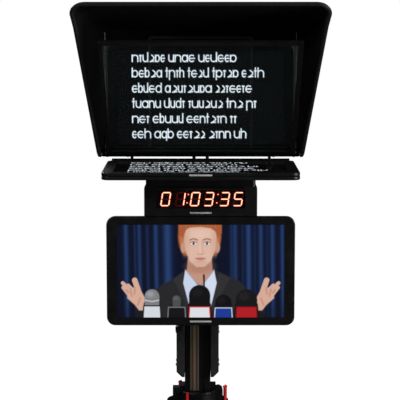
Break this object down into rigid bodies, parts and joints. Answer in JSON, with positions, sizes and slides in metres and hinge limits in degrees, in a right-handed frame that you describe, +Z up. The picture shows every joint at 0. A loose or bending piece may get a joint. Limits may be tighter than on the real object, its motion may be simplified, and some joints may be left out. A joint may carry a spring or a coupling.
{
  "type": "teleprompter",
  "caption": "Studio teleprompter on a tripod: black hood with a slanted beam-splitter glass over a flat prompter monitor, with a digital clock and a talent monitor below.",
  "frame": {"origin": "centre of the bounding box, on the floor", "axes": "+Z up; -Y towards the talent, who reads the glass; +Y towards the camera; +X to the talent's right as they look at it"},
  "size_m": [0.8286, 0.7346, 1.6349],
  "materials": {
    "black_anodised": "black anodised, satin",
    "grey_anodised": "dark grey anodised, satin",
    "clear_anodised": "clear anodised, satin",
    "bronze_anodised": "bronze, brushed lengthwise",
    "black_powder_coat": "fine-textured powder coat",
    "red_enamel": "gloss red enamel",
    "hood_composite": "fine-textured black sheet",
    "black_plastic": "moulded, fine grain",
    "black_rubber": "matt",
    "black_cloth": "tightly woven black cloth",
    "coated_glass": "half-mirror coating",
    "display_glass": "smooth display panel",
    "tinted_acrylic": "smoked red acrylic",
    "circuit_board": "green solder mask",
    "plain_steel": "plain turned steel"
  },
  "bodies": {
    "root": {"crown": "black_anodised", "mast": "black_anodised", "mast_strip": "bronze_anodised"},
    "leg_front": {"leg_upper_front": "black_anodised"},
    "leg_front_extension": {"leg_lower_front": "clear_anodised", "leg_foot_front": "black_rubber"},
    "leg_front_lever": {"leg_lever_front": "red_enamel"},
    "leg_right": {"leg_upper_right": "black_anodised"},
    "leg_right_extension": {"leg_lower_right": "clear_anodised", "leg_foot_right": "black_rubber"},
    "leg_right_lever": {"leg_lever_right": "red_enamel"},
    "leg_left": {"leg_upper_left": "black_anodised"},
    "leg_left_extension": {"leg_lower_left": "clear_anodised", "leg_foot_left": "black_rubber"},
    "leg_left_lever": {"leg_lever_left": "red_enamel"},
    "column": {"side_plate_left": "grey_anodised", "side_plate_right": "grey_anodised", "sleeve_back": "black_anodised"},
    "column_knob": {"column_knob": "black_plastic"},
    "pan_lock": {"pan_lock_knob": "black_plastic"},
    "pan_head": {"pan_block": "black_anodised"},
    "deck": {"tilt_platform": "grey_anodised", "base_plate": "black_anodised", "rail_left": "clear_anodised", "rail_right": "clear_anodised", "monitor_tray": "black_anodised", "cross_beam": "black_anodised", "drop_bracket": "black_anodised", "prompter_bezel": "black_plastic", "prompter_panel": "display_glass", "prompter_back_cover": "black_plastic", "prompter_board": "circuit_board", "clock_housing": "black_powder_coat", "clock_window": "tinted_acrylic", "clock_board": "circuit_board", "clock_rear_cover": "black_powder_coat"},
    "tilt_lock": {"tilt_lock_knob": "black_plastic"},
    "pan_bar": {"pan_bar": "black_anodised"},
    "carriage": {"camera_carriage": "black_anodised"},
    "carriage_lock": {"carriage_knob": "black_plastic"},
    "table": {"camera_table": "black_anodised"},
    "table_lock": {"table_knob": "black_plastic"},
    "camera_screw": {"camera_screw": "plain_steel"},
    "prompter_button": {"prompter_power_button": "black_plastic"},
    "talent": {"talent_bezel": "black_plastic", "talent_panel": "display_glass", "talent_back_cover": "black_plastic", "talent_board": "circuit_board", "talent_mount_plate": "grey_anodised"},
    "talent_knob": {"talent_tilt_knob": "black_plastic"},
    "talent_button": {"talent_power_button": "black_plastic"},
    "clock_button": {"clock_button": "red_enamel"},
    "hood": {"hood_shell": "hood_composite", "hood_trim": "black_rubber", "rear_panel": "hood_composite", "port_frame": "black_plastic", "hood_base_bar": "black_anodised", "glass_frame": "black_anodised", "beam_splitter": "coated_glass", "camera_cloth": "black_cloth"}
  },
  "joints": [
    {"name": "leg_front_fold", "type": "hinge", "parent": "root", "child": "leg_front", "pos_m": [0, 0.0295, 0.44], "axis": [1, 0, 0], "range_deg": [0, 38]},
    {"name": "leg_front_extend", "type": "slide", "parent": "leg_front", "child": "leg_front_extension", "axis": [0, -0.663, -0.7486], "range_m": [0, 0.2]},
    {"name": "leg_front_lever_turn", "type": "hinge", "parent": "leg_front", "child": "leg_front_lever", "pos_m": [0, 0.0295, 0.44], "axis": [1, 0, 0], "range_deg": [0, 80]},
    {"name": "leg_right_fold", "type": "hinge", "parent": "root", "child": "leg_right", "pos_m": [0.06755, 0.1465, 0.44], "axis": [-0.5, 0.866, 0], "range_deg": [0, 38]},
    {"name": "leg_right_extend", "type": "slide", "parent": "leg_right", "child": "leg_right_extension", "axis": [0.5742, 0.3315, -0.7486], "range_m": [0, 0.2]},
    {"name": "leg_right_lever_turn", "type": "hinge", "parent": "leg_right", "child": "leg_right_lever", "pos_m": [0.06755, 0.1465, 0.44], "axis": [-0.5, 0.866, 0], "range_deg": [0, 80]},
    {"name": "leg_left_fold", "type": "hinge", "parent": "root", "child": "leg_left", "pos_m": [-0.06755, 0.1465, 0.44], "axis": [-0.5, -0.866, 0], "range_deg": [0, 38]},
    {"name": "leg_left_extend", "type": "slide", "parent": "leg_left", "child": "leg_left_extension", "axis": [-0.5742, 0.3315, -0.7486], "range_m": [0, 0.2]},
    {"name": "leg_left_lever_turn", "type": "hinge", "parent": "leg_left", "child": "leg_left_lever", "pos_m": [-0.06755, 0.1465, 0.44], "axis": [-0.5, -0.866, 0], "range_deg": [0, 80]},
    {"name": "column_lift", "type": "slide", "parent": "root", "child": "column", "axis": [0, 0, 1], "range_m": [0, 0.25]},
    {"name": "column_knob_turn", "type": "hinge", "parent": "column", "child": "column_knob", "pos_m": [-0.056, 0.0525, 0.681], "axis": [0, -1, 0], "range_deg": [0, 360]},
    {"name": "pan_lock_turn", "type": "hinge", "parent": "column", "child": "pan_lock", "pos_m": [0, 0.1675, 0.9305], "axis": [0, 1, 0], "range_deg": [0, 360]},
    {"name": "pan", "type": "hinge", "parent": "column", "child": "pan_head", "pos_m": [0, 0.1075, 0.944], "axis": [0, 0, 1], "continuous": true},
    {"name": "tilt", "type": "hinge", "parent": "pan_head", "child": "deck", "pos_m": [0, 0.1075, 0.99], "axis": [1, 0, 0], "range_deg": [-15, 10]},
    {"name": "tilt_lock_turn", "type": "hinge", "parent": "deck", "child": "tilt_lock", "pos_m": [0.06, 0.1075, 0.99], "axis": [1, 0, 0], "range_deg": [0, 360]},
    {"name": "pan_bar_swing", "type": "hinge", "parent": "deck", "child": "pan_bar", "pos_m": [-0.057, 0.1205, 1.04], "axis": [1, 0, 0], "range_deg": [-20, 20]},
    {"name": "carriage_travel", "type": "slide", "parent": "deck", "child": "carriage", "axis": [0, 1, 0], "range_m": [-0.015, 0.09]},
    {"name": "carriage_lock_turn", "type": "hinge", "parent": "carriage", "child": "carriage_lock", "pos_m": [-0.07, 0.2295, 1.11], "axis": [-1, 0, 0], "range_deg": [0, 360]},
    {"name": "table_lift", "type": "slide", "parent": "carriage", "child": "table", "axis": [0, 0, 1], "range_m": [0, 0.04]},
    {"name": "table_lock_turn", "type": "hinge", "parent": "table", "child": "table_lock", "pos_m": [0.054, 0.2295, 1.255], "axis": [1, 0, 0], "range_deg": [0, 360]},
    {"name": "camera_screw_turn", "type": "hinge", "parent": "table", "child": "camera_screw", "pos_m": [0.009, 0.1895, 1.308], "axis": [0, 0, 1], "continuous": true},
    {"name": "prompter_button_press", "type": "slide", "parent": "deck", "child": "prompter_button", "axis": [0, 0, 1], "range_m": [0, 0.001], "stiffness_N_per_m": 300, "springref_m": -0.0005},
    {"name": "talent_tilt", "type": "hinge", "parent": "deck", "child": "talent", "pos_m": [0.009, 0.0025, 0.945], "axis": [1, 0, 0], "range_deg": [0, 8]},
    {"name": "talent_knob_turn", "type": "hinge", "parent": "deck", "child": "talent_knob", "pos_m": [0.054, 0.0025, 0.945], "axis": [1, 0, 0], "range_deg": [0, 360]},
    {"name": "talent_button_press", "type": "slide", "parent": "talent", "child": "talent_button", "axis": [0, -1, 0], "range_m": [0, 0.001], "stiffness_N_per_m": 300, "springref_m": -0.0005},
    {"name": "clock_button_press", "type": "slide", "parent": "deck", "child": "clock_button", "axis": [0, -1, 0], "range_m": [0, 0.001], "stiffness_N_per_m": 300, "springref_m": -0.0005},
    {"name": "hood_tilt", "type": "hinge", "parent": "deck", "child": "hood", "pos_m": [0.009, 0.0595, 1.1925], "axis": [1, 0, 0], "range_deg": [0, 30]}
  ]
}
